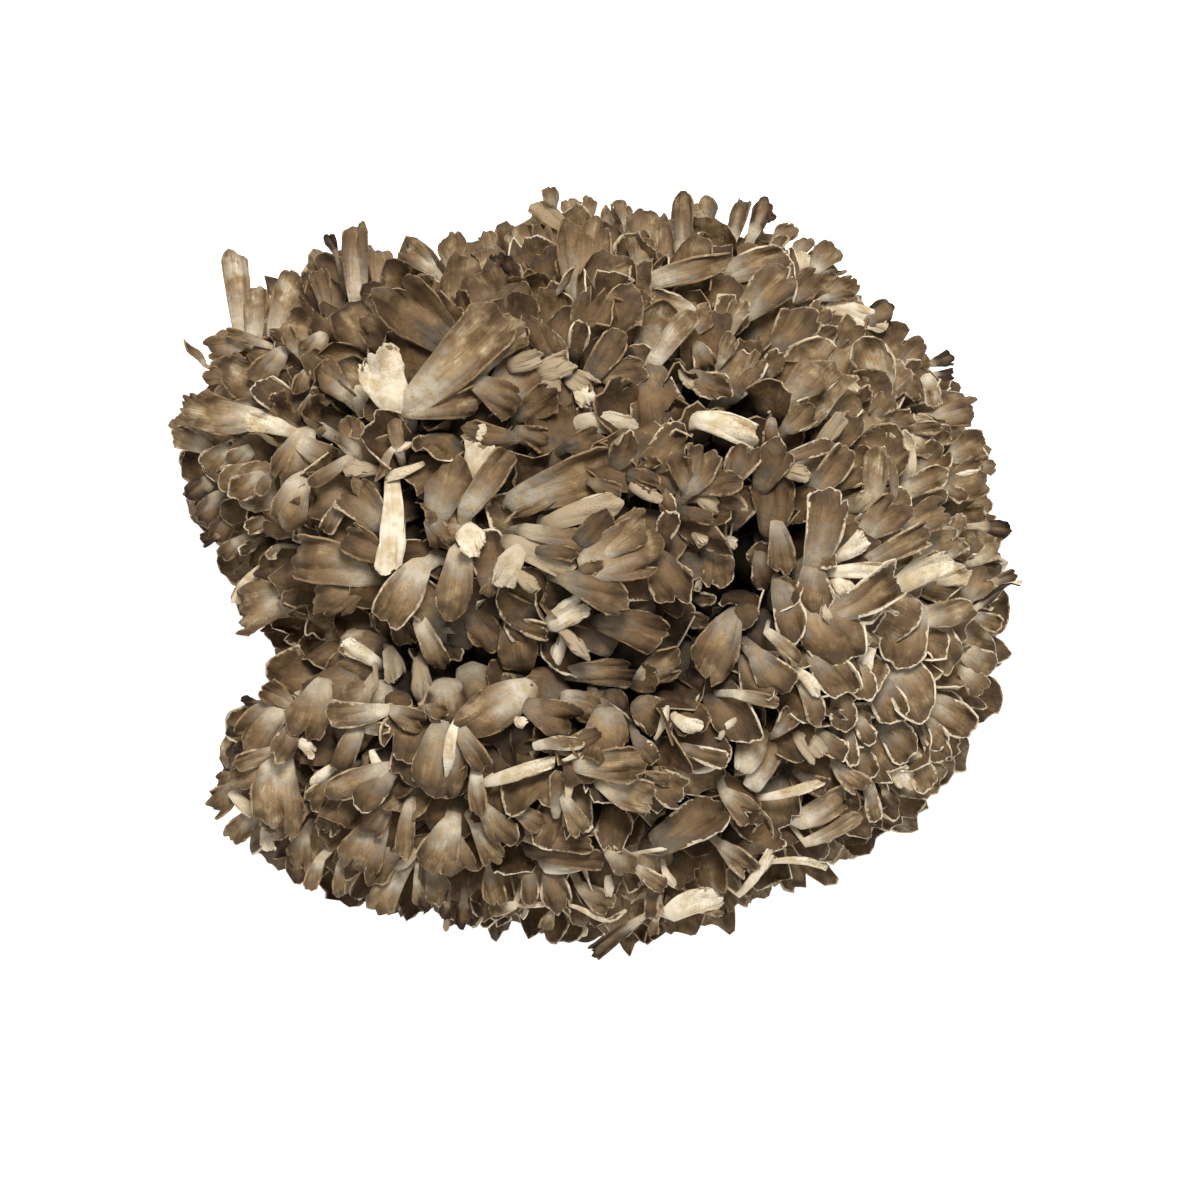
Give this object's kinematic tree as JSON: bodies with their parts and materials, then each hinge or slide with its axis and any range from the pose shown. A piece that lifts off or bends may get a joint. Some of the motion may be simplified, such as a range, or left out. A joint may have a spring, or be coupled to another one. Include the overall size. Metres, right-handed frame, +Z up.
{
  "type": "maitake mushroom",
  "caption": "Whole maitake mushroom: a rosette of overlapping grey-brown caps grown from one cream stem base, standing on its cut face.",
  "frame": {"origin": "middle of the bounding box in plan, on the surface that the cut stem base stands on", "axes": "+Z up, +X along the crown's longest spread, +Y towards the top lobe, with the cleft opening towards -X"},
  "size_m": [0.4208, 0.3824, 0.1954],
  "materials": {
    "flesh": "fibrous taupe cap skin with a pale rim, matt, cream flesh and pores beneath, soil stains at the base"
  },
  "bodies": {
    "root": {"fruiting_body": "flesh"}
  },
  "joints": []
}
